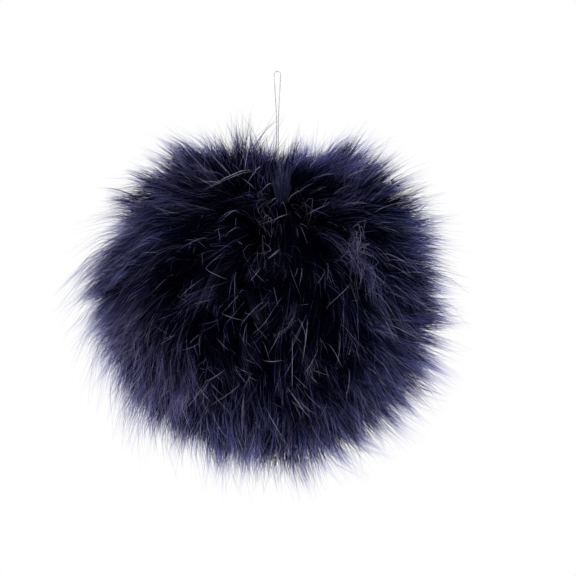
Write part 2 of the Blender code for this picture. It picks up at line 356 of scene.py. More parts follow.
# The coats' node tree: its inputs, by kind or default, and the coats' columns behind them.
COAT_INPUTS = {
    "Ground": "Geometry", "Count": 1000, "Seed": 0, "Bands": 3, "Hair Width": 0.2 * MM,
    "Start": 0.0, "Reach": 1.0, "Reach Spread": 0.2, "Stray": 1.0 * MM, "Stray Rarity": 2.0,
    "Lift": 0.55, "Curl": 0.1, "Strand Pull": 0.6, "Tone": 0.5, "Tone Spread": 0.5,
    "Patch Share": 1.0, "Lock Spacing": 9.0 * MM, "Lock Sway": 4.0 * MM, "Lock Pull": 0.5,
    "Lock Shade": 0.1, "Tuft Spacing": 3.0 * MM, "Tuft Sway": 2.0 * MM, "Tuft Pull": 0.5,
    "Tuft Shade": 0.2, "Strand Spacing": 1.0 * MM, "Strand Sway": 1.0 * MM,
    "Strand Shade": 0.2, "Shade Reach": 0.3, "Farthest": 70.0 * MM,
    "Ball Centre": (0.0, 0.0, 0.0), "Material": "Material",
}
COAT_COLUMN_OF = {
    "Count": "count", "Seed": "seed", "Bands": "bands", "Hair Width": "width",
    "Start": "start", "Reach": "reach", "Reach Spread": "spread", "Stray": "stray",
    "Stray Rarity": "rarity", "Lift": "lift", "Curl": "curl", "Strand Pull": "tuft",
    "Tone": "tone", "Tone Spread": "tones", "Patch Share": "patchy",
}
GUIDE_DENSITY = 1.0e6  # guides for each square metre before they are thinned to their spacing
ROOT_DEPTH = 0.4 * MM  # how deep in the ground a hair starts
SHADE_SEED_STEP = 50.0  # between the seeds of a guide's sway and of its shade
WIDTH_RANGE = (0.7, 1.3)  # thinnest and widest hair, as a share of the coat's width
FLECK_RARITY = 2.5  # how rare the lighter hairs are
HUE_STRAY = 0.22  # how far a hair's hue strays either way
TAPER = 0.75  # how early a hair narrows
STREAK_SCALE = (90.0, 3.0, 1.0)  # fine streaks along the hairs' map

# The hairs' map. Across it lie the hues' bands, each as wide as 1 here before they are fitted in.
MAP_MARGIN = 0.01  # from a band's edge to its darkest hair
TONE_SPAN = 0.92  # from the darkest hair to the lightest
HAIR_SPAN = 0.06  # across one hair
ROOT_LINE = 0.03  # the height at which a hair's sides start
SIDE_SPAN = 0.96  # from there to its tip
CONE_CAP = 0.5  # the plain cone's own map holds its cap above this
CAP_SPAN = 0.05  # how much of that is kept for the root's cap

# How a hair is finished: dark and light colours of its three hues and the colour of its tip, how
# far up its root is darkened with painted shade, where its tip starts and how much it shows, its contrast
# and streaks, and its roughness, gloss and how much light it lets through.
HUES = ("Teal", "Navy", "Violet")
Finish = namedtuple(
    "Finish",
    "name families tip root_end tip_start tip_share contrast tip_contrast streaks roughness gloss glow",
)
FUR_FAMILIES = tuple((hue + "_dark", hue + "_light") for hue in ("teal", "navy", "violet"))
GUARD_FAMILIES = (("guard_dark", "guard_light"),) * len(HUES)
CURL_FAMILIES = (("violet_dark", "tip"),) * len(HUES)
FINISHES = {
    "fur": Finish("fur", FUR_FAMILIES, "tip", 0.6, 0.6, 1.0, 4.2, 2.2, 0.3, 0.55, 0.0, 0.7),
    "guard": Finish(
        "guard hair", GUARD_FAMILIES, "guard_light", 0.6, 0.6, 0.4, 1.0, 1.0, 0.2, 0.4, 0.3, 0.3
    ),
    "curl": Finish("curled hair", CURL_FAMILIES, "tip", 0.4, 0.6, 0.3, 1.1, 1.0, 0.2, 0.45, 0.0, 0.3),
}


def number_setting(name, description, default):
    return FloatProperty(name=name, description=description, default=default)


def angle_setting(name, description, degrees):
    return FloatProperty(
        name=name, description=description, default=math.radians(degrees), subtype="ANGLE"
    )


def length_setting(name, description, default):
    return FloatProperty(
        name=name, description=description, default=default, unit="LENGTH", precision=5
    )


def colour_setting(name, description, default):
    return FloatVectorProperty(
        name=name, description=description, default=default, subtype="COLOR", size=3, min=0.0, max=1.0
    )


class PomPomForm(bpy.types.PropertyGroup):
    """Sizes of the ball and of how its hair lies."""

    fur_radius: length_setting("Fur radius", "From the ball's middle to the hair's tips", 59.0 * MM)
    ground_share: number_setting("Ground share", "How far out the dark ground lies", 0.70)
    depth_share: number_setting("Depth share", "Front to back against side to side", 0.98)
    lie: number_setting("Lie", "How flat the hair of the front lies, 0 for upright", 0.55)
    longest: length_setting("Longest", "The longest that hair grows before its own spread", 42.0 * MM)
    farthest: length_setting("Farthest", "No hair ends further from the ball's middle", 72.4 * MM)
    stroke_spread: length_setting("Stroke spread", "How far a comb stroke is felt", 11.0 * MM)
    stroke_depth: number_setting("Stroke depth", "How much front to back counts in that", 0.35)
    turn: angle_setting("Turn", "How far neighbourhoods turn either way", 44.0)
    turn_scale: number_setting("Turn scale", "How many such neighbourhoods fit a radius", 3.0)
    fine_turn: angle_setting("Fine turn", "How far small places turn either way", 60.0)
    fine_turn_scale: number_setting("Fine turn scale", "How many such small places fit a radius", 8.0)
    loose: number_setting("Loose", "How far the front's hair stays uncombed", 1.0)
    loose_scale: number_setting("Loose scale", "How many uncombed places fit a radius", 13.0)
    least_loose: number_setting("Least loose", "How loosely the rim's hair hangs against the front's", 0.4)
    crown_loose: number_setting("Crown loose", "How much more loosely hair stands at the gather", 0.6)
    accent_root: number_setting("Accent root", "How far out the single locks and hairs are rooted", 0.85)
    accent_tip: number_setting("Accent tip", "How far out they end", 1.06)
    # painted rim light: the hair at the outline seen from the front is made lighter, as light from behind
    # makes it
    rim_painted_light: number_setting("Rim tone", "How much lighter the rim's hair is", 0.60)
    rim_painted_light_sharpness: number_setting("Rim sharpness", "How fast that falls off to the front and back", 9.0)


class PomPomColours(bpy.types.PropertyGroup):
    """Colours of the hair and the thread."""

    # near-black, painted shade deep in the fur: at the hairs' roots and on the ground wool
    root: colour_setting("Root", "Hair near the skin", (0.0012, 0.0012, 0.0048))
    teal_dark: colour_setting("Dark teal", "Darkest of the colder hairs", (0.0035, 0.0075, 0.0390))
    teal_light: colour_setting("Light teal", "Lightest of the colder hairs", (0.34, 0.41, 0.70))
    navy_dark: colour_setting("Dark navy", "Darkest of the navy hairs", (0.0050, 0.0060, 0.0430))
    navy_light: colour_setting("Light navy", "Lightest of the navy hairs", (0.31, 0.34, 0.78))
    violet_dark: colour_setting("Dark violet", "Darkest of the warmer hairs", (0.0070, 0.0065, 0.0390))
    violet_light: colour_setting("Light violet", "Lightest of the warmer hairs", (0.43, 0.41, 0.71))
    tip: colour_setting("Tip", "Ends of the hair", (0.70, 0.65, 0.97))
    guard_dark: colour_setting("Dark guard hair", "Darkest of the guard hairs", (0.20, 0.20, 0.44))
    # pale guard hairs: partly their own paler colour, partly painted glint of light along them
    guard_light: colour_setting("Light guard hair", "Palest of the guard hairs", (0.76, 0.75, 1.0))
    thread: colour_setting("Thread", "The thread", (0.86, 0.86, 0.88))


class PomPomTufts(bpy.types.PropertyGroup):
    """How the hair gathers into tufts."""

    lock_spacing: length_setting("Lock spacing", "Between the middles of the large locks", 9.0 * MM)
    lock_sway: length_setting("Lock sway", "How far a large lock's tip leans", 5.0 * MM)
    lock_pull: number_setting("Lock pull", "How far tufts lean together", 0.45)
    lock_shade: number_setting("Lock shade", "How locks differ in tone", 0.25)
    tuft_spacing: length_setting("Tuft spacing", "Between the middles of the small tufts", 2.8 * MM)
    tuft_sway: length_setting("Tuft sway", "How far a small tuft's tip leans", 3.8 * MM)
    tuft_pull: number_setting("Tuft pull", "How far strands lean together", 0.62)
    tuft_shade: number_setting("Tuft shade", "How tufts differ in tone", 0.37)
    strand_spacing: length_setting("Strand spacing", "Between the middles of the strands", 1.0 * MM)
    strand_sway: length_setting("Strand sway", "How far a strand's tip leans", 2.2 * MM)
    strand_shade: number_setting("Strand shade", "How strands differ in tone", 0.46)
    shade_reach: number_setting("Shade reach", "How much further the lighter strands reach", 0.30)


class PomPomStudio(bpy.types.PropertyGroup):
    """The camera, the floor and the light."""

    distance: length_setting("Distance", "From the camera to the thread", 0.9)
    elevation: angle_setting("Elevation", "Height of the view", 5.0)
    floor_drop: length_setting("Floor drop", "From the loop's top down to the floor", 0.45)
    floor_size: length_setting("Floor size", "Side of the square floor", 12.0)
    side_light: number_setting("Side light", "Sky to the sides", 0.85)
    back_light: number_setting("Back light", "Sky behind the pom pom", 5.0)
    front_light: number_setting("Front light", "Sky behind the camera", 0.05)
    key_light: number_setting("Key light", "Soft patch of sky above the camera", 0.52)
    floor_light: number_setting("Floor light", "Glow of the floor", 0.38)


class Wires:
    """Adds nodes to a tree and joins them up."""

    def __init__(self, tree):
        self.tree = tree
        self.column = 0

    def feed(self, socket, value):
        """Joins a socket to another one, or sets it to a plain value."""
        if isinstance(value, bpy.types.NodeSocket):
            self.tree.links.new(value, socket)
        else:
            socket.default_value = value

    def add(self, kind, inputs=None, **settings):
        made = self.tree.nodes.new(kind)
        made.location = (self.column * NODE_SPACING, 0.0)
        self.column += 1
        for name, value in settings.items():
            setattr(made, name, value)
        for name, value in (inputs or {}).items():
            self.feed(pick(made.inputs, name), value)
        return made

    def out(self, kind, inputs=None, wanted=0, **settings):
        return pick(self.add(kind, inputs, **settings).outputs, wanted)

    def math(self, operation, *values, clamp=False):
        inputs = dict(enumerate(values))
        return self.out("ShaderNodeMath", inputs, operation=operation, use_clamp=clamp)

    def times(self, a, b):
        return self.math("MULTIPLY", a, b)

    def plus(self, a, b, clamp=False):
        return self.math("ADD", a, b, clamp=clamp)

    def minus(self, a, b):
        return self.math("SUBTRACT", a, b)

    def vector(self, operation, *values, **named):
        wanted = "Value" if operation in ("LENGTH", "DOT_PRODUCT", "DISTANCE") else "Vector"
        inputs = {**dict(enumerate(values)), **named}
        return self.out("ShaderNodeVectorMath", inputs, wanted, operation=operation)

    def moved(self, vector, by):
        return self.vector("ADD", vector, by)

    def between(self, start, end):
        return self.vector("SUBTRACT", end, start)

    def scaled(self, vector, scale):
        return self.vector("SCALE", vector, Scale=scale)

    def parts(self, vector):
        return self.add("ShaderNodeSeparateXYZ", {0: vector}).outputs

    def mix(self, kind, factor, a, b):
        inputs = {"Factor": factor, "A": a, "B": b}
        return self.out("ShaderNodeMix", inputs, "Result", data_type=kind)

    def ramp(self, value, start, end, low=0.0, high=1.0):
        inputs = {"Value": value, "From Min": start, "From Max": end, "To Min": low, "To Max": high}
        return self.out("ShaderNodeMapRange", inputs, "Result", interpolation_type="SMOOTHSTEP")

    def grain(self, place, scale, detail):
        inputs = {"Vector": place, "Scale": scale, "Detail": detail}
        return self.out("ShaderNodeTexNoise", inputs, "Fac")

    def stored(self, name, kind="FLOAT"):
        inputs = {"Name": name}
        return self.out("GeometryNodeInputNamedAttribute", inputs, "Attribute", data_type=kind)

    def store(self, geometry, name, value, kind="FLOAT", domain="POINT"):
        inputs = {"Geometry": geometry, "Name": name, "Value": value}
        return self.out(
            "GeometryNodeStoreNamedAttribute", inputs, "Geometry", data_type=kind, domain=domain
        )

    def dice(self, seed, low, high, kind="FLOAT"):
        inputs = {"Min": low, "Max": high, "Seed": seed}
        return self.out("FunctionNodeRandomValue", inputs, "Value", data_type=kind)

    def dice_vector(self, seed):
        return self.dice(seed, (-1.0, -1.0, -1.0), (1.0, 1.0, 1.0), "FLOAT_VECTOR")


def pick(sockets, name):
    """The socket of that name or number among those in use."""
    used = [socket for socket in sockets if socket.enabled]
    if isinstance(name, int):
        return used[name]
    return next(socket for socket in used if socket.name == name)


def new_group(name, kind, inputs, output):
    """A node group, its wires and its inputs' sockets. An input is told by its kind or its default."""
    tree = bpy.data.node_groups.new(name, kind)
    for label, given in inputs.items():
        told = given if isinstance(given, str) else SOCKET_KINDS[type(given)]
        socket = tree.interface.new_socket(
            name=label, in_out="INPUT", socket_type="NodeSocket" + told
        )
        if told is not given:
            socket.default_value = given
    label, told = output
    tree.interface.new_socket(name=label, in_out="OUTPUT", socket_type="NodeSocket" + told)
    wires = Wires(tree)
    return tree, wires, wires.add("NodeGroupInput").outputs


def setting_name(label):
    return label.lower().replace(" ", "_")


# ---------------------------------------------------------------- form


def noise_at(direction, scale, place):
    return noise.noise(direction * scale + Vector(place))


def grain(kind, direction):
    return kind.swing * noise_at(direction, kind.scale, kind.place)


def felt(away, spread):
    """1 at a place, falling to 0 well beyond the spread."""
    return math.exp(-((away / spread) ** 2))


def bearing_to_direction(bearing, height):
    turn = math.radians(bearing)
    rise = math.radians(height)
    return Vector((math.cos(turn) * math.cos(rise), math.sin(turn) * math.cos(rise), math.sin(rise)))


def solid_radius(form, direction):
    """How far the locks of the solids reach in a direction, as in the part's source."""
    radius = form.fur_radius
    for swell in SWELLS:
        away = math.degrees(direction.angle(bearing_to_direction(swell.bearing, swell.height)))
        radius += swell.rise * felt(away, swell.spread)
    return radius


def fur_radius(form, direction):
    """How far the fur's hairs reach in a direction."""
    studio = bpy.context.scene.pom_pom_studio
    back, right, up = view_axes(studio)
    turn = math.degrees(math.atan2(direction.dot(up), direction.dot(right)))
    nearer = form.fur_radius / studio.distance
    across = math.hypot(direction.dot(right), direction.dot(up))
    depth = math.degrees(math.atan2(direction.dot(back), across) - nearer)
    rise = 0.0
    for index, step in enumerate(OUTLINE):
        away = (turn - index * OUTLINE_STEP + 180.0) % 360.0 - 180.0
        rise += step * MM * felt(away, OUTLINE_SPREAD)
    return solid_radius(form, direction) + rise * felt(depth, OUTLINE_DEPTH)


def gather_direction():
    aside = -BALL_CENTRE.x / GATHER_RADIUS
    return Vector((aside, 0.0, math.sqrt(1.0 - aside**2)))


def view_axes(studio):
    """Where the camera stands, and the directions to its right and up."""
    back = Vector((0.0, -math.cos(studio.elevation), math.sin(studio.elevation)))
    right = Vector((1.0, 0.0, 0.0))
    return back, right, back.cross(right)


def view_middle():
    """The point that the camera looks at, in the upright plane of the thread."""
    middle = VIEW_PIXELS / 2.0
    across = (middle - LOOP_PIXEL[0]) * METRES_PER_PIXEL
    return Vector((across, 0.0, -(middle - LOOP_PIXEL[1]) * METRES_PER_PIXEL))


def offset_at_pixel(studio, radius, x, y):
    """From the ball's middle to what is seen at a pixel, or to the line of sight beside the ball."""
    back, right, up = view_axes(studio)
    eye = view_middle() + back * studio.distance
    middle = VIEW_PIXELS / 2.0
    seen = view_middle() + (right * (x - middle) + up * (middle - y)) * METRES_PER_PIXEL
    ray = (seen - eye).normalized()
    nearest = eye + ray * (BALL_CENTRE - eye).dot(ray)
    offset = nearest - BALL_CENTRE
    if offset.length < radius:
        offset -= ray * math.sqrt(radius**2 - offset.length_squared)
    return offset


def placed(studio, radius, rows):
    """Each row with its direction from the ball's middle."""
    return [(offset_at_pixel(studio, radius, row.x, row.y).normalized(), row) for row in rows]


def placed_strokes(form, studio):
    """Each stroke's direction from the ball's middle and its heading, in metres of the frame."""
    strokes = []
    for where, stroke in placed(studio, form.fur_radius, STROKES):
        turn = math.radians(stroke.heading)
        strokes.append((where, Vector((math.cos(turn), 0.0, math.sin(turn))) * stroke.hold))
    return strokes


def heading_away_from_gather(direction):
    """The heading of hair that no stroke lays: away from the gather and sagging."""
    gather = gather_direction()
    flow = direction * direction.dot(gather) - gather + Vector((0.0, 0.0, -SAG))
    return Vector((flow.x, 0.0, flow.z))


def hair_direction(form, strokes, direction):
    """Which way the hair rooted in a direction lies: the strokes' headings, standing outwards."""
    reach = form.stroke_spread / form.fur_radius
    weights = UNLAID_HOLD
    heading = heading_away_from_gather(direction) * weights
    for where, laid in strokes:
        away = where - direction
        away.y *= form.stroke_depth
        weight = math.exp(-away.length_squared / reach**2)
        heading += laid * weight
        weights += weight
    heading /= weights
    turn = form.turn * noise_at(direction, form.turn_scale, TURN_PLACE)
    turn += form.fine_turn * noise_at(direction, form.fine_turn_scale, FINE_TURN_PLACE)
    turn *= form.least_loose + (1.0 - form.least_loose) * abs(direction.y)
    x = heading.x * math.cos(turn) - heading.z * math.sin(turn)
    z = heading.x * math.sin(turn) + heading.z * math.cos(turn)
    heading = Vector((x, 0.0, z))
    across = math.hypot(direction.x, direction.z)
    loose = noise.noise_vector(direction * form.loose_scale + Vector(LOOSE_PLACE))
    heading += Vector((loose.x, 0.0, loose.z)) * form.loose * abs(direction.y)
    lying = heading * (across + form.lie * abs(direction.y))
    return (lying + Vector((0.0, direction.y, 0.0))).normalized()


def hair_length(form, root, lies):
    """From a root, along the way it lies, to the fur's own surface, unless that is too far."""
    along = root.dot(lies)
    length = form.longest
    for _ in range(LENGTH_ROUNDS):
        reach = fur_radius(form, (root + lies * length).normalized())
        length = math.sqrt(along**2 + reach**2 - root.length_squared) - along
        length = min(length, form.longest)
    return length


def parted(form, gaps, direction):
    """How open the fur is in a direction, and how far the hair's ends are pushed aside."""
    most = 0.0
    push = Vector((0.0, 0.0, 0.0))
    for where, gap in gaps:
        away = (direction - where) * form.fur_radius
        share = felt(away.length, gap.size)
        most = max(most, share)
        push += away * share * GAP_PUSH
    return most, push


def tone_hue_and_painted_light(form, patches, direction):
    """Tone and hue of the fur in a direction, with painted rim light and the patches' painted light and
    shade.
    """
    tone = BASE_TONE + grain(BROAD_TONE, direction)
    tone += grain(FINE_TONE, direction)
    # painted rim light: lighter towards the outline seen from the front
    tone += form.rim_painted_light * math.hypot(direction.x, direction.z) ** form.rim_painted_light_sharpness
    hue = BASE_HUE + grain(HUE_DRIFT, direction)
    for where, patch in patches:
        share = felt((direction - where).length * form.fur_radius, patch.spread)
        tone += patch.tone * share
        hue += patch.hue * share
    return tone, hue


def looseness(form, direction):
    """How loosely the hair stands in a direction: most at the front and at the gather."""
    loose = form.least_loose + (1.0 - form.least_loose) * max(0.0, -direction.y) ** 2
    return loose + form.crown_loose * felt(
        math.degrees(direction.angle(gather_direction())), CROWN_SPREAD
    )


def place_in_ball(form, offset):
    return BALL_CENTRE + Vector((offset.x, offset.y * form.depth_share, offset.z))


def hair_layers(bm):
    """Adds what a ground's points hold, and returns the function that fills it in for a point."""
    end_layer = bm.verts.layers.float_vector.new("hair_end")
    layers = [bm.verts.layers.float.new(name) for name in GROUND_VALUES]

    def fill(vert, end, *values):
        vert[end_layer] = end
        for layer, value in zip(layers, values):
            vert[layer] = value

    return fill


def mesh_from(bm, name):
    mesh = bpy.data.meshes.new(name)
    bm.to_mesh(mesh)
    bm.free()
    return mesh


def plain_object(name, data):
    made = bpy.data.objects.new(name, data)
    bpy.context.scene.collection.objects.link(made)
    return made


def finish_piece(piece, node):
    """Hands a finished piece to the frame."""
    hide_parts(node)
    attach(piece, BODY)


# ---------------------------------------------------------------- materials


def principled(name, **settings):
    """A new material, its shader with these settings and the wires of its tree."""
    material = bpy.data.materials.new(name)
    material.use_nodes = True
    shader = material.node_tree.nodes["Principled BSDF"]
    for label, value in settings.items():
        shader.inputs[label.replace("_", " ").title().replace("Ior", "IOR")].default_value = value
    return material, shader, Wires(material.node_tree)


def opaque(rgb, gain=1.0):
    return (*(min(1.0, part * gain) for part in rgb), 1.0)


def show(material, wires, shader):
    """Makes a shader the material's surface."""
    wires.feed(material.node_tree.nodes["Material Output"].inputs["Surface"], shader)


def let_light_through(material, wires, shader, colour, share):
    """Mixes in the light that thin hair lets through from behind."""
    through = wires.out("ShaderNodeBsdfTranslucent", {"Color": colour}, "BSDF")
    inputs = {"Fac": share, 1: shader.outputs["BSDF"], 2: through}
    show(material, wires, wires.out("ShaderNodeMixShader", inputs, "Shader"))


def hair_colour_group():
    """Colour of a hair from its map: three hues across, each from dark to light; root to tip up."""
    name = "Hair Colour"
    if name in bpy.data.node_groups:
        return bpy.data.node_groups[name]
    inputs = {hue + end: "Color" for hue in HUES for end in (" Dark", " Light")}
    inputs.update({"Root": "Color", "Tip": "Color", "Root End": 0.5, "Tip Start": 0.7})
    inputs.update({"Tip Share": 0.5, "Contrast": 1.6, "Tip Contrast": 1.0, "Streaks": 0.3})
    tree, wires, given = new_group(name, "ShaderNodeTree", inputs, ("Colour", "Color"))
    seen = wires.out("ShaderNodeUVMap", uv_map=FUR_MAP)
    across, along, _ = wires.parts(seen)
    bands = wires.times(across, float(len(HUES)))
    tone = wires.math("POWER", wires.math("FRACT", bands), given["Contrast"])
    body = None
    for step, hue in enumerate(HUES):
        own = wires.mix("RGBA", tone, given[hue + " Dark"], given[hue + " Light"])
        chosen = wires.math("GREATER_THAN", bands, float(step))
        body = own if body is None else wires.mix("RGBA", chosen, body, own)
    # the root's near-black is painted shade deep in the fur
    based = wires.mix("RGBA", wires.ramp(along, 0.0, given["Root End"]), given["Root"], body)
    tip_share = wires.times(wires.ramp(along, given["Tip Start"], 1.0), given["Tip Share"])
    tip_tone = wires.math("POWER", wires.math("FRACT", bands), given["Tip Contrast"])
    tipped = wires.mix("RGBA", wires.times(tip_share, tip_tone), based, given["Tip"])
    streak = wires.grain(wires.vector("MULTIPLY", seen, STREAK_SCALE), 1.0, 2.0)
    swing = wires.times(wires.minus(streak, 0.5), given["Streaks"])
    gain = wires.plus(1.0, wires.times(swing, 2.0))
    wires.add("NodeGroupOutput", {"Colour": wires.scaled(tipped, gain)})
    return tree


def hair_material(colours, finish):
    """A hair's finish: painted shade at the root, its own tone along it and lighter at the tip."""
    material, shader, wires = principled(
        finish.name, roughness=finish.roughness, specular_ior_level=finish.gloss
    )
    group = wires.add("ShaderNodeGroup", node_tree=hair_colour_group())
    for hue, (dark, light) in zip(HUES, finish.families):
        group.inputs[hue + " Dark"].default_value = opaque(getattr(colours, dark))
        group.inputs[hue + " Light"].default_value = opaque(getattr(colours, light))
    group.inputs["Root"].default_value = opaque(colours.root)
    group.inputs["Tip"].default_value = opaque(getattr(colours, finish.tip))
    for label in ("Root End", "Tip Start", "Tip Share", "Contrast", "Tip Contrast", "Streaks"):
        group.inputs[label].default_value = getattr(finish, setting_name(label))
    wires.feed(shader.inputs["Base Color"], group.outputs["Colour"])
    let_light_through(material, wires, shader, group.outputs["Colour"], finish.glow)
    return material


def ground_material(colours):
    """The wool at the hairs' roots: fine lumps and streaks of near-black navy, painted shade deep in the
    fur.
    """
    material, shader, wires = principled("ground wool", roughness=0.95, specular_ior_level=0.1)
    place = wires.out("ShaderNodeTexCoord", wanted="Object")
    wool = wires.grain(place, 900.0, 4.0)
    share = wires.times(wool, wires.grain(place, 60.0, 2.0))
    colour = wires.mix("RGBA", share, opaque(colours.root), opaque(colours.navy_dark, 2.0))
    inputs = {"Height": wool, "Strength": 0.6, "Distance": 0.4 * MM}
    wires.feed(shader.inputs["Base Color"], colour)
    wires.feed(shader.inputs["Normal"], wires.out("ShaderNodeBump", inputs, "Normal"))
    return material


def thread_material(colours):
    """Fine grey filament with a faint unevenness along it."""
    material, shader, wires = principled("thread filament", roughness=0.4)
    spots = wires.grain(wires.out("ShaderNodeTexCoord", wanted="Object"), 700.0, 2.0)
    dark, light = opaque(colours.thread, 0.75), opaque(colours.thread, 1.3)
    colour = wires.mix("RGBA", spots, dark, light)
    wires.feed(shader.inputs["Base Color"], colour)
    let_light_through(material, wires, shader, colour, 0.6)
    return material


# ---------------------------------------------------------------- the coats' node tree


def tuft_group():
    """Leans the hair ends of some points towards those of the nearest guide points."""
    name = "Lean To Tufts"
    if name in bpy.data.node_groups:
        return bpy.data.node_groups[name]
    inputs = {"Points": "Geometry", "Guides": "Geometry", "Pull": 0.5, "Sway": 0.001}
    inputs.update({"Shade Swing": 0.0, "Seed": 0})
    tree, wires, given = new_group(name, "GeometryNodeTree", inputs, ("Points", "Geometry"))
    place = wires.out("GeometryNodeInputPosition")
    inputs = {"Geometry": given["Guides"], "Sample Position": place}
    nearest = wires.out("GeometryNodeSampleNearest", inputs)

    def of_guide(label, kind):
        inputs = {"Geometry": given["Guides"], "Value": wires.stored(label, kind), "Index": nearest}
        return wires.out("GeometryNodeSampleIndex", inputs, data_type=kind, domain="POINT")

    own_end = wires.stored("hair_end", "FLOAT_VECTOR")
    leaned = wires.mix("VECTOR", given["Pull"], own_end, of_guide("hair_end", "FLOAT_VECTOR"))
    loose_sway = wires.times(given["Sway"], wires.stored("hair_loose"))
    moved = wires.moved(leaned, wires.scaled(wires.dice_vector(given["Seed"]), loose_sway))
    swing = wires.dice(wires.plus(given["Seed"], SHADE_SEED_STEP), -1.0, 1.0)
    shade = wires.plus(of_guide("hair_shade", "FLOAT"), wires.times(swing, given["Shade Swing"]))
    points = wires.store(given["Points"], "hair_end", moved, "FLOAT_VECTOR")
    wires.add("NodeGroupOutput", {"Points": wires.store(points, "hair_shade", shade)})
    return tree


def coat_tree():
    """Grows closed, tapered three-sided hairs on a ground mesh.

    The ground's points hold hair_end, where a hair rooted there ends, hair_share, how densely
    hair grows there, hair_patch, the fur's tone there with its painted light and shade, hair_hue,
    its hue, and hair_loose, how loosely it stands. Each hair runs on a curve from its root, first straight
    out.
    """
    name = "Fur Coat"
    if name in bpy.data.node_groups:
        return bpy.data.node_groups[name]
    tree, wires, given = new_group(name, "GeometryNodeTree", COAT_INPUTS, ("Hairs", "Geometry"))
    ground = given["Ground"]

    def scatter(spacing, seed):
        inputs = {"Mesh": ground, "Distance Min": spacing, "Density Max": GUIDE_DENSITY, "Seed": seed}
        kind = "GeometryNodeDistributePointsOnFaces"
        return wires.out(kind, inputs, "Points", distribute_method="POISSON")

    def lean(points, guides, pull, sway=0.0, swing=0.0, seed=0):
        inputs = {"Points": points, "Guides": guides, "Pull": pull, "Sway": sway}
        inputs.update({"Shade Swing": swing, "Seed": seed})
        group = wires.add("GeometryNodeGroup", node_tree=tuft_group())
        for label, value in inputs.items():
            wires.feed(group.inputs[label], value)
        return group.outputs["Points"]

    # Large locks lean at random, small tufts to the locks, strands to the tufts, hairs to the strands.
    locks = scatter(given["Lock Spacing"], 3)
    guides, pull = lean(locks, locks, 0.0, given["Lock Sway"], given["Lock Shade"], 5), given["Lock Pull"]
    for kind, scatter_seed, lean_seed in (("Tuft", 7, 9), ("Strand", 11, 13)):
        points = scatter(given[kind + " Spacing"], scatter_seed)
        sway, shade = given[kind + " Sway"], given[kind + " Shade"]
        guides, pull = lean(points, guides, pull, sway, shade, lean_seed), given[kind + " Pull"]

    area = wires.out("GeometryNodeInputMeshFaceArea")
    share = wires.stored("hair_share")
    inputs = {"Geometry": ground, "Attribute": wires.times(area, share)}
    shared = wires.out("GeometryNodeAttributeStatistic", inputs, "Sum", domain="FACE")
    density = wires.times(wires.math("DIVIDE", given["Count"], shared), share)
    inputs = {"Mesh": ground, "Density": density, "Seed": given["Seed"]}
    kind = "GeometryNodeDistributePointsOnFaces"
    roots = wires.out(kind, inputs, "Points", distribute_method="RANDOM")
    roots = lean(roots, guides, pull)

    def own_seed(step):
        return wires.plus(given["Seed"], float(step))

    # Where each hair starts and ends, and how it bends between.
    centre = given["Ball Centre"]
    surface = wires.out("GeometryNodeInputPosition")
    outward = wires.vector("NORMALIZE", wires.between(centre, surface))
    root = wires.between(wires.scaled(outward, ROOT_DEPTH), surface)
    full = wires.between(root, wires.stored("hair_end", "FLOAT_VECTOR"))
    shortening = wires.times(wires.dice(own_seed(1), 0.0, 1.0), given["Reach Spread"])
    reach = wires.times(given["Reach"], wires.minus(1.0, shortening))
    shade = wires.stored("hair_shade")
    reach = wires.times(reach, wires.plus(1.0, wires.times(shade, given["Shade Reach"])))
    wildness = wires.math("POWER", wires.dice(own_seed(3), 0.0, 1.0), given["Stray Rarity"])
    loose = wires.stored("hair_loose")
    wildness = wires.times(wires.times(wildness, given["Stray"]), loose)
    stray = wires.scaled(wires.dice_vector(own_seed(2)), wildness)
    end = wires.moved(root, wires.moved(wires.scaled(full, reach), stray))
    reached = wires.between(centre, end)
    far = wires.math("DIVIDE", given["Farthest"], wires.vector("LENGTH", reached))
    end = wires.moved(centre, wires.scaled(reached, wires.math("MINIMUM", far, 1.0)))
    base = wires.moved(root, wires.scaled(full, given["Start"]))
    span = wires.vector("DISTANCE", base, end)
    rise = wires.scaled(outward, wires.times(span, given["Lift"]))
    wave = wires.times(wires.times(span, given["Curl"]), loose)
    bend = wires.moved(wires.moved(base, rise), wires.scaled(wires.dice_vector(own_seed(4)), wave))
    for label, value in (("hair_root", base), ("hair_bend", bend), ("hair_tip", end)):
        roots = wires.store(roots, label, value, "FLOAT_VECTOR")

    # How wide, light and blue it is.
    width = wires.times(given["Hair Width"], wires.dice(own_seed(5), *WIDTH_RANGE))
    # the fur's tone there, with its painted light and shade
    patch = wires.times(wires.minus(wires.stored("hair_patch"), 0.5), given["Patch Share"])
    fleck = wires.math("POWER", wires.dice(own_seed(6), 0.0, 1.0), FLECK_RARITY)
    own = wires.plus(wires.plus(patch, wires.times(fleck, given["Tone Spread"])), shade)
    tone = wires.plus(given["Tone"], own, clamp=True)
    hue_stray = wires.dice(own_seed(7), -HUE_STRAY, HUE_STRAY)
    hue = wires.plus(wires.stored("hair_hue"), hue_stray, clamp=True)
    band = wires.math("FLOOR", wires.times(hue, len(HUES) - 0.01))
    for label, value in (("hair_width", width), ("hair_tone", tone), ("hair_band", band)):
        roots = wires.store(roots, label, value)

    # One plain hair, a closed cone of height 1, is copied to every root and then bent.
    inputs = {"Vertices": 3, "Side Segments": given["Bands"], "Radius Top": 0.0}
    inputs.update({"Radius Bottom": 1.0, "Depth": 1.0})
    cone = wires.add("GeometryNodeMeshCone", inputs, fill_type="NGON").outputs
    hair = wires.store(cone["Mesh"], FUR_MAP, cone["UV Map"], "FLOAT2", "CORNER")
    place = wires.out("GeometryNodeInputPosition")
    hair = wires.store(hair, "hair_unit", place, "FLOAT_VECTOR")
    inputs = {"Points": roots, "Instance": hair}
    copies = wires.out("GeometryNodeInstanceOnPoints", inputs, "Instances")
    hairs = wires.out("GeometryNodeRealizeInstances", {"Geometry": copies}, "Geometry")

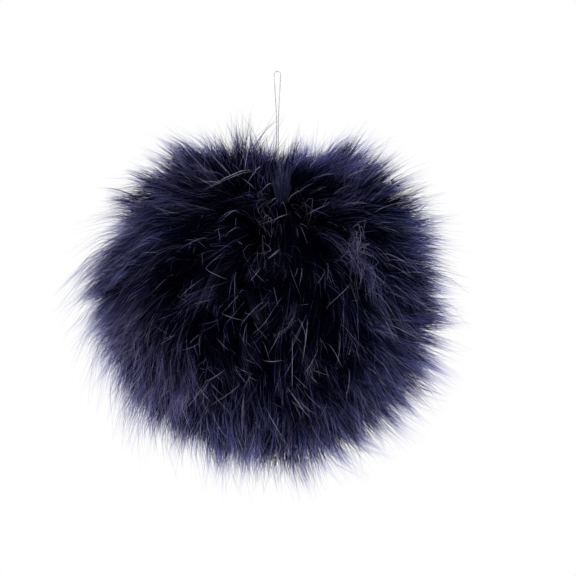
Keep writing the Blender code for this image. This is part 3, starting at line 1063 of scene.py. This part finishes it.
    labels = ("hair_unit", "hair_root", "hair_bend", "hair_tip")
    unit, start, middle, tip = (wires.stored(label, "FLOAT_VECTOR") for label in labels)
    along = wires.parts(unit)["Z"]
    low = wires.mix("VECTOR", along, start, middle)
    high = wires.mix("VECTOR", along, middle, tip)
    spine = wires.mix("VECTOR", along, low, high)
    forward = wires.vector("NORMALIZE", wires.between(low, high))
    turned = wires.vector("CROSS_PRODUCT", wires.between(start, middle), wires.between(middle, tip))
    across = wires.vector("NORMALIZE", turned)
    side = wires.vector("CROSS_PRODUCT", across, forward)
    ring = wires.parts(wires.vector("NORMALIZE", wires.vector("MULTIPLY", unit, (1.0, 1.0, 0.0))))
    taper = wires.math("POWER", wires.minus(1.0, along), TAPER)
    radius = wires.times(wires.times(wires.stored("hair_width"), 0.5), taper)
    ring_offset = wires.moved(wires.scaled(side, ring["X"]), wires.scaled(across, ring["Y"]))
    inputs = {"Geometry": hairs, "Position": wires.moved(spine, wires.scaled(ring_offset, radius))}
    hairs = wires.out("GeometryNodeSetPosition", inputs, "Geometry")

    # The map: tone and hue of the hair across and root to tip up, with the root cap at its foot.
    cone_x, cone_y, _ = wires.parts(wires.stored(FUR_MAP, "FLOAT_VECTOR"))
    side_v = wires.plus(ROOT_LINE, wires.times(along, SIDE_SPAN))
    cap_v = wires.times(wires.minus(cone_y, CONE_CAP), CAP_SPAN)
    on_cap = wires.math("GREATER_THAN", cone_y, CONE_CAP + MAP_MARGIN)
    map_v = wires.mix("FLOAT", on_cap, side_v, cap_v)
    map_u = wires.times(wires.stored("hair_tone"), TONE_SPAN)
    map_u = wires.plus(map_u, wires.times(cone_x, HAIR_SPAN))
    map_u = wires.plus(map_u, wires.plus(wires.stored("hair_band"), MAP_MARGIN))
    map_u = wires.math("DIVIDE", map_u, float(len(HUES)))
    own_map = wires.out("ShaderNodeCombineXYZ", {"X": map_u, "Y": map_v})
    hairs = wires.store(hairs, FUR_MAP, own_map, "FLOAT2", "CORNER")
    inputs = {"Geometry": hairs, "Name": "hair_*"}
    hairs = wires.out("GeometryNodeRemoveAttribute", inputs, pattern_mode="WILDCARD")
    hairs = wires.out("GeometryNodeSetShadeSmooth", {"Geometry": hairs})
    hairs = wires.out("GeometryNodeRealizeInstances", {"Geometry": hairs}, "Geometry")
    inputs = {"Geometry": hairs, "Material": given["Material"]}
    hairs = wires.out("GeometryNodeSetMaterial", inputs, "Geometry")
    wires.add("NodeGroupOutput", {"Hairs": hairs})
    return tree


def accent_mesh(form, studio, look):
    """Small patches, one for each accent, that hold where its hairs end and how they look."""
    bm = bmesh.new()
    fill = hair_layers(bm)
    for accent in ACCENTS[look]:
        root = offset_at_pixel(studio, form.fur_radius * form.accent_root, accent.x, accent.y)
        tip = offset_at_pixel(studio, form.fur_radius * form.accent_tip, accent.tip_x, accent.tip_y)
        along = (tip - root).normalized()
        side = along.orthogonal().normalized()
        over = along.cross(side)
        area = 0.75 * math.sqrt(3.0) * accent.size**2  # of the patch, a triangle with equal sides
        corners = []
        for corner in range(3):
            turn = math.radians(120.0 * corner)
            away = (side * math.cos(turn) + over * math.sin(turn)) * accent.size
            vert = bm.verts.new(place_in_ball(form, root + away))
            end = place_in_ball(form, tip + away)
            fill(vert, end, accent.count / area, accent.tone, accent.hue, 1.0)
            corners.append(vert)
        bm.faces.new(corners)
    return mesh_from(bm, "accents_" + look)


def grow_coat(ground_mesh, coat, material):
    """Runs the coat's node tree on a ground mesh and returns the hairs as a plain mesh object."""
    scene = bpy.context.scene
    tree = coat_tree()
    carrier = plain_object(coat.name + "_carrier", ground_mesh)
    modifier = carrier.modifiers.new("Fur Coat", "NODES")
    modifier.node_group = tree
    values = {label: getattr(coat, column) for label, column in COAT_COLUMN_OF.items()}
    for label in COAT_INPUTS:
        setting = setting_name(label)
        if label not in values and setting in scene.pom_pom_tufts.__annotations__:
            shaded = 0.0 if label.endswith(" Shade") and not coat.tuft else 1.0
            values[label] = getattr(scene.pom_pom_tufts, setting) * shaded
    values["Farthest"] = scene.pom_pom_form.farthest
    values["Ball Centre"] = tuple(BALL_CENTRE)
    values["Material"] = material
    for item in tree.interface.items_tree:
        if item.item_type == "SOCKET" and item.in_out == "INPUT" and item.name in values:
            modifier[item.identifier] = values[item.name]
    carrier.update_tag()
    graph = bpy.context.evaluated_depsgraph_get()
    mesh = bpy.data.meshes.new_from_object(carrier.evaluated_get(graph), depsgraph=graph)
    bpy.data.objects.remove(carrier)
    if not mesh.polygons:
        raise RuntimeError(f"{coat.name} came out empty")
    mesh.name = coat.name
    return plain_object(coat.name, mesh)


# ---------------------------------------------------------------- operators


class POMPOM_OT_ground(bpy.types.Operator):
    """Adds the dark woolly ground that the hairs are rooted in"""

    bl_idname = "pom_pom.ground"
    bl_label = "Add Ground Wool"

    def execute(self, context):
        form = context.scene.pom_pom_form
        studio = context.scene.pom_pom_studio
        noise.seed_set(LOOSE_SEED)
        strokes = placed_strokes(form, studio)
        gaps = placed(studio, form.fur_radius, GAPS)
        patches = placed(studio, form.fur_radius, TONE_HUE_AND_PAINTED_LIGHT_PATCHES)
        tufts = [(offset_at_pixel(studio, form.fur_radius, row.x, row.y), row) for row in TUFTS]
        bm = bmesh.new()
        bmesh.ops.create_icosphere(bm, subdivisions=6, radius=1.0)
        fill = hair_layers(bm)
        for vert in bm.verts:
            direction = vert.co.normalized()
            lump = grain(GROUND_LUMPS, direction)
            root = direction * (solid_radius(form, direction) * form.ground_share + lump)
            vert.co = place_in_ball(form, root)
            lies = hair_direction(form, strokes, direction)
            grown = hair_length(form, root, lies) * (1.0 + grain(HAIR_GROWTH, direction))
            open_share, parting = parted(form, gaps, direction)
            end = root + lies * grown * (1.0 - GAP_SHORTENING * open_share) + parting
            for tip, tuft in tufts:
                end = end.lerp(tip, tuft.pull * felt((end - tip).length, tuft.size))
            # the fur's tone with its painted rim light and the patches' painted light and shade, and its hue
            tone, hue = tone_hue_and_painted_light(form, patches, end.normalized())
            # painted shade where the fur parts
            tone -= GAP_PAINTED_SHADE * open_share
            fill(vert, place_in_ball(form, end), 1.0, tone, hue, looseness(form, direction))
        mesh = mesh_from(bm, "ground_wool")
        mesh.shade_smooth()
        mesh.materials.append(ground_material(context.scene.pom_pom_colours))
        finish_piece(plain_object("ground_wool", mesh), FUR_NODE)
        return {"FINISHED"}


class POMPOM_OT_coats(bpy.types.Operator):
    """Grows the coats of hair on the ground wool"""

    bl_idname = "pom_pom.coats"
    bl_label = "Grow Fur"

    def execute(self, context):
        scene = context.scene
        looks = {look: hair_material(scene.pom_pom_colours, kind) for look, kind in FINISHES.items()}
        looks["wisp"] = looks["fur"]  # wisps are rooted and curl in their own way, with the fur's colour
        ground = bpy.data.objects.get("ground_wool")
        if ground is None:
            raise RuntimeError("the ground wool comes before the coats")
        for coat in COATS:
            finish_piece(grow_coat(ground.data, coat, looks[coat.look]), FUR_NODE)
        for coat in ACCENT_COATS:
            patches = accent_mesh(scene.pom_pom_form, scene.pom_pom_studio, coat.look)
            wanted = sum(accent.count for accent in ACCENTS[coat.look])
            hairs = grow_coat(patches, coat._replace(count=wanted), looks[coat.look])
            bpy.data.meshes.remove(patches)
            finish_piece(hairs, FUR_NODE)
        return {"FINISHED"}


def strand_route(side):
    """One strand of the thread from its foot in the gather up to the start of the loop."""
    near = STRAND_SPACING / 2.0
    foot = BALL_CENTRE.z + GATHER_RADIUS * gather_direction().z + SEAT_GAP
    return [
        Vector((side * near, 0.0, foot)),
        Vector((side * near, 0.0, (foot - TIE_DEPTH) / 2.0)),
        Vector((side * near, 0.0, -TIE_DEPTH)),
        Vector((side * (near + LOOP_RADIUS) / 2.0, 0.0, -(TIE_DEPTH + LOOP_RADIUS) / 2.0)),
        Vector((side * LOOP_RADIUS, 0.0, -LOOP_RADIUS)),
    ]


def smooth_points(route, count):
    """Points spaced evenly along a smooth curve through the route's own points."""
    ends = [route[0] * 2.0 - route[1], *route, route[-1] * 2.0 - route[-2]]
    fine = []
    for before, start, end, after in zip(ends, ends[1:], ends[2:], ends[3:]):
        for step in range(CURVE_STEPS):
            t = step / CURVE_STEPS
            fine.append(
                0.5
                * (
                    2.0 * start
                    + (end - before) * t
                    + (2.0 * before - 5.0 * start + 4.0 * end - after) * t**2
                    + (3.0 * start - before - 3.0 * end + after) * t**3
                )
            )
    fine.append(route[-1])
    lengths = [0.0]
    for a, b in zip(fine, fine[1:]):
        lengths.append(lengths[-1] + (b - a).length)
    points = []
    for index in range(count):
        wanted = lengths[-1] * index / (count - 1)
        seg = next((i for i, done in enumerate(lengths[1:]) if done >= wanted), len(fine) - 2)
        share = (wanted - lengths[seg]) / (lengths[seg + 1] - lengths[seg])
        points.append(fine[seg].lerp(fine[seg + 1], min(share, 1.0)))
    return points


def thread_points():
    up = smooth_points(strand_route(-1.0), LEG_STEPS)
    down = list(reversed(smooth_points(strand_route(1.0), LEG_STEPS)))
    loop = []
    for step in range(1, LOOP_STEPS):
        turn = math.pi * (1.0 - step / LOOP_STEPS)
        loop.append(Vector((math.cos(turn), 0.0, math.sin(turn) - 1.0)) * LOOP_RADIUS)
    return up + loop + down


class POMPOM_OT_thread(bpy.types.Operator):
    """Adds the doubled thread with the loop that the pom pom hangs from"""

    bl_idname = "pom_pom.thread"
    bl_label = "Add Thread"

    diameter: length_setting("Diameter", "Thickness of the thread", 0.32 * MM)

    def execute(self, context):
        points = thread_points()
        curve = bpy.data.curves.new("hang_loop", "CURVE")
        curve.dimensions = "3D"
        curve.bevel_depth = self.diameter / 2.0
        curve.bevel_resolution = 2
        curve.use_fill_caps = True
        spline = curve.splines.new("POLY")
        spline.points.add(len(points) - 1)
        for point, place in zip(spline.points, points):
            point.co = (*place, 1.0)
        curve.materials.append(thread_material(context.scene.pom_pom_colours))
        thread = plain_object("hang_loop", curve)
        finish_piece(thread, THREAD_NODE)
        return {"FINISHED"}


class POMPOM_OT_studio(bpy.types.Operator):
    """Adds the camera, the pale floor and the soft white light"""

    bl_idname = "pom_pom.studio"
    bl_label = "Add Studio"

    def execute(self, context):
        studio = context.scene.pom_pom_studio
        self.add_camera(context, studio)
        self.add_floor(studio)
        self.add_sky(context, studio)
        context.scene.view_settings.view_transform = "Standard"
        return {"FINISHED"}

    def add_camera(self, context, studio):
        camera = bpy.data.cameras.new("camera")
        view_width = VIEW_PIXELS * METRES_PER_PIXEL
        camera.lens = camera.sensor_width * studio.distance / view_width
        camera.clip_start = 0.05
        camera.clip_end = 50.0
        holder = plain_object("camera", camera)
        back = view_axes(studio)[0]
        holder.location = view_middle() + back * studio.distance
        holder.rotation_euler = (-back).to_track_quat("-Z", "Y").to_euler()
        context.scene.camera = holder

    def add_floor(self, studio):
        """A pale floor that throws its light up and that the camera sees as plain white."""
        bm = bmesh.new()
        bmesh.ops.create_grid(bm, x_segments=1, y_segments=1, size=studio.floor_size / 2.0)
        bmesh.ops.translate(bm, vec=(0.0, 0.0, -studio.floor_drop), verts=bm.verts)
        mesh = mesh_from(bm, "floor")
        material, shader, wires = principled(
            "pale floor",
            base_color=opaque((0.95, 0.95, 0.95)),
            roughness=0.9,
            emission_color=opaque((1.0, 1.0, 1.0)),
            emission_strength=studio.floor_light,
        )
        seen = wires.out("ShaderNodeLightPath", wanted="Is Camera Ray")
        white = wires.out("ShaderNodeEmission", wanted="Emission")
        inputs = {"Fac": seen, 1: shader.outputs["BSDF"], 2: white}
        show(material, wires, wires.out("ShaderNodeMixShader", inputs, "Shader"))
        mesh.materials.append(material)
        plain_object("floor", mesh)

    def add_sky(self, context, studio):
        """A white sky, brightest behind the pom pom, that keeps the fur's front dark."""
        world = bpy.data.worlds.new("white studio")
        world.use_nodes = True
        world.node_tree.nodes.clear()
        wires = Wires(world.node_tree)
        place = wires.out("ShaderNodeTexCoord", wanted="Generated")
        depth = wires.parts(place)["Y"]
        front = wires.ramp(depth, -0.45, 0.5, studio.front_light, studio.side_light)
        behind = wires.ramp(depth, 0.5, 0.95, 0.0, studio.back_light - studio.side_light)
        towards_key = wires.vector("DOT_PRODUCT", place, KEY_DIRECTION)
        key = wires.ramp(towards_key, 0.75, 0.95, 0.0, studio.key_light)
        sky = wires.plus(wires.plus(front, behind), key)
        seen = wires.out("ShaderNodeLightPath", wanted="Is Camera Ray")
        inputs = {"Color": opaque((1.0, 1.0, 1.0)), "Strength": wires.mix("FLOAT", seen, sky, 1.0)}
        background = wires.out("ShaderNodeBackground", inputs)
        wires.add("ShaderNodeOutputWorld", {"Surface": background})
        context.scene.world = world


class POMPOM_PT_panel(bpy.types.Panel):
    """Lists the pom pom's sizes, colours and pieces"""

    bl_idname = "POMPOM_PT_panel"
    bl_label = "Fur Pom Pom"
    bl_space_type = "VIEW_3D"
    bl_region_type = "UI"
    bl_category = "Pom Pom"

    def draw(self, context):
        layout = self.layout
        scene = context.scene
        for group in (scene.pom_pom_form, scene.pom_pom_tufts, scene.pom_pom_colours, scene.pom_pom_studio):
            box = layout.box()
            for name in group.__annotations__:
                box.prop(group, name)
        for operator in OPERATORS:
            layout.operator(operator.bl_idname)


SETTINGS = (
    ("pom_pom_form", PomPomForm),
    ("pom_pom_tufts", PomPomTufts),
    ("pom_pom_colours", PomPomColours),
    ("pom_pom_studio", PomPomStudio),
)
OPERATORS = (POMPOM_OT_studio, POMPOM_OT_thread, POMPOM_OT_ground, POMPOM_OT_coats)
CLASSES = (*(group for _, group in SETTINGS), *OPERATORS, POMPOM_PT_panel)


def register():
    for cls in CLASSES:
        bpy.utils.register_class(cls)
    for name, group in SETTINGS:
        setattr(bpy.types.Scene, name, PointerProperty(type=group))


def unregister():
    for name, _ in SETTINGS:
        delattr(bpy.types.Scene, name)
    for cls in reversed(CLASSES):
        bpy.utils.unregister_class(cls)


def main():
    register()
    bpy.ops.pom_pom.studio()
    bpy.ops.pom_pom.thread()
    bpy.ops.pom_pom.ground()
    bpy.ops.pom_pom.coats()


if __name__ == "__main__":
    main()
